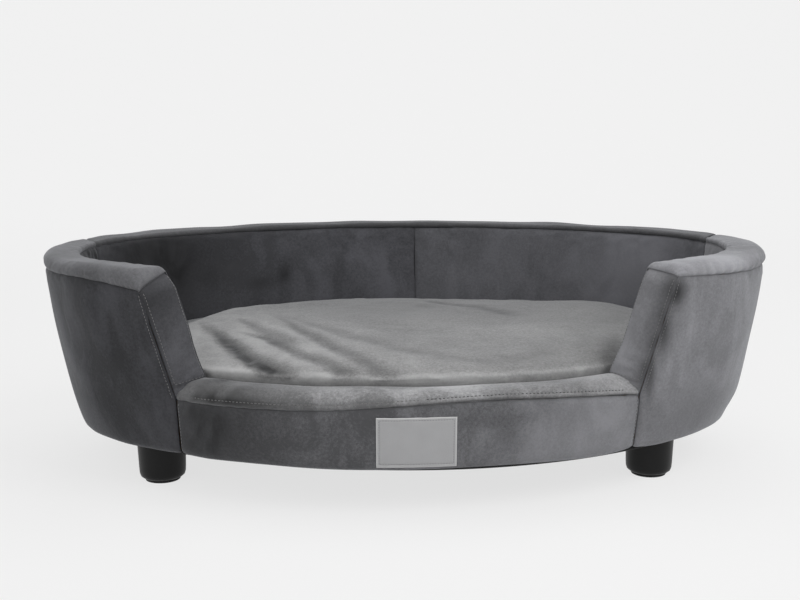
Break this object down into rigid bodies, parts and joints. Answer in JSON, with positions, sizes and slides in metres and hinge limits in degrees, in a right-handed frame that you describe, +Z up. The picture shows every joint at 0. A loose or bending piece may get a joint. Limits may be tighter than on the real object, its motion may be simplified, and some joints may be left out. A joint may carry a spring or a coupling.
{
  "type": "dog sofa bed",
  "caption": "Oval upholstered pet sofa on short legs, its padded wall open at the front, with a loose crowned cushion in a zipped cover.",
  "frame": {"origin": "on the floor, under the middle of the bed's box", "axes": "+X to the right along the long side, +Y to the closed back, +Z up; the open front faces -Y"},
  "size_m": [0.8996, 0.5564, 0.27],
  "materials": {
    "outer_velvet": "dark grey short-pile velvet, double-stitched seams",
    "cushion_velvet": "light grey short-pile velvet with nap streaks",
    "foam": "upholstery foam, off-white",
    "wadding": "polyester wadding, white",
    "plywood": "raw plywood, edges sanded",
    "fibreboard": "thin bent fibreboard",
    "black_cloth": "black spun-bonded cloth",
    "black_plastic": "black moulded plastic, satin",
    "felt": "dark felt",
    "steel": "zinc-plated steel",
    "label_leatherette": "light grey leatherette, stitched border, bare",
    "zip_cloth": "woven grey zip tape",
    "zip_nylon": "grey nylon coil",
    "zip_metal": "grey enamelled zip slider and pull"
  },
  "bodies": {
    "sofa": {"arm_end_foam_left": "foam", "arm_end_foam_right": "foam", "arm_end_posts": "plywood", "arm_gusset_left": "outer_velvet", "arm_gusset_right": "outer_velvet", "base_board": "plywood", "deck_cloth": "black_cloth", "deck_pad": "foam", "dust_cover": "black_cloth", "dust_cover_staples": "steel", "frame_screws": "steel", "front_board": "fibreboard", "front_wadding": "wadding", "inner_cover_back_left": "outer_velvet", "inner_cover_back_right": "outer_velvet", "inner_cover_left": "outer_velvet", "inner_cover_right": "outer_velvet", "inner_wall_board": "fibreboard", "inner_wall_foam": "foam", "label_patch": "label_leatherette", "leg_bolts": "steel", "leg_front_left": "black_plastic", "leg_front_right": "black_plastic", "leg_glides": "felt", "leg_rear_left": "black_plastic", "leg_rear_right": "black_plastic", "outer_cover_back": "outer_velvet", "outer_cover_front": "outer_velvet", "outer_cover_left": "outer_velvet", "outer_cover_right": "outer_velvet", "outer_wadding": "wadding", "outer_wall_board": "fibreboard", "rim_band_back": "outer_velvet", "rim_band_left": "outer_velvet", "rim_band_right": "outer_velvet", "rim_foam": "foam", "sill_cover": "outer_velvet", "sill_foam": "foam", "sill_inner_board": "fibreboard", "sill_posts": "plywood", "sill_rail": "plywood", "t_nuts": "steel", "wall_bottom_rail": "plywood", "wall_posts": "plywood", "wall_top_rail": "plywood"},
    "cushion": {"cushion_core": "wadding", "cushion_cover_top": "cushion_velvet", "cushion_boxing": "cushion_velvet", "cushion_cover_bottom": "cushion_velvet", "zip_tape": "zip_cloth", "zip_teeth": "zip_nylon", "zip_stops": "zip_nylon"},
    "zip_slider": {"zip_slider": "zip_metal"},
    "zip_pull": {"zip_pull": "zip_metal"}
  },
  "joints": [
    {"name": "cushion_lift", "type": "slide", "parent": "sofa", "child": "cushion", "axis": [0, 0, 1], "range_m": [0, 0.25]},
    {"name": "zip_run", "type": "hinge", "parent": "cushion", "child": "zip_slider", "pos_m": [0, -0.33997, 0.11958], "axis": [0, 0, 1], "range_deg": [0, 38]},
    {"name": "zip_pull_swing", "type": "hinge", "parent": "zip_slider", "child": "zip_pull", "pos_m": [0.17826, 0.17564, 0.11963], "axis": [0.9451, -0.3268, 0], "range_deg": [-8, 10]}
  ]
}
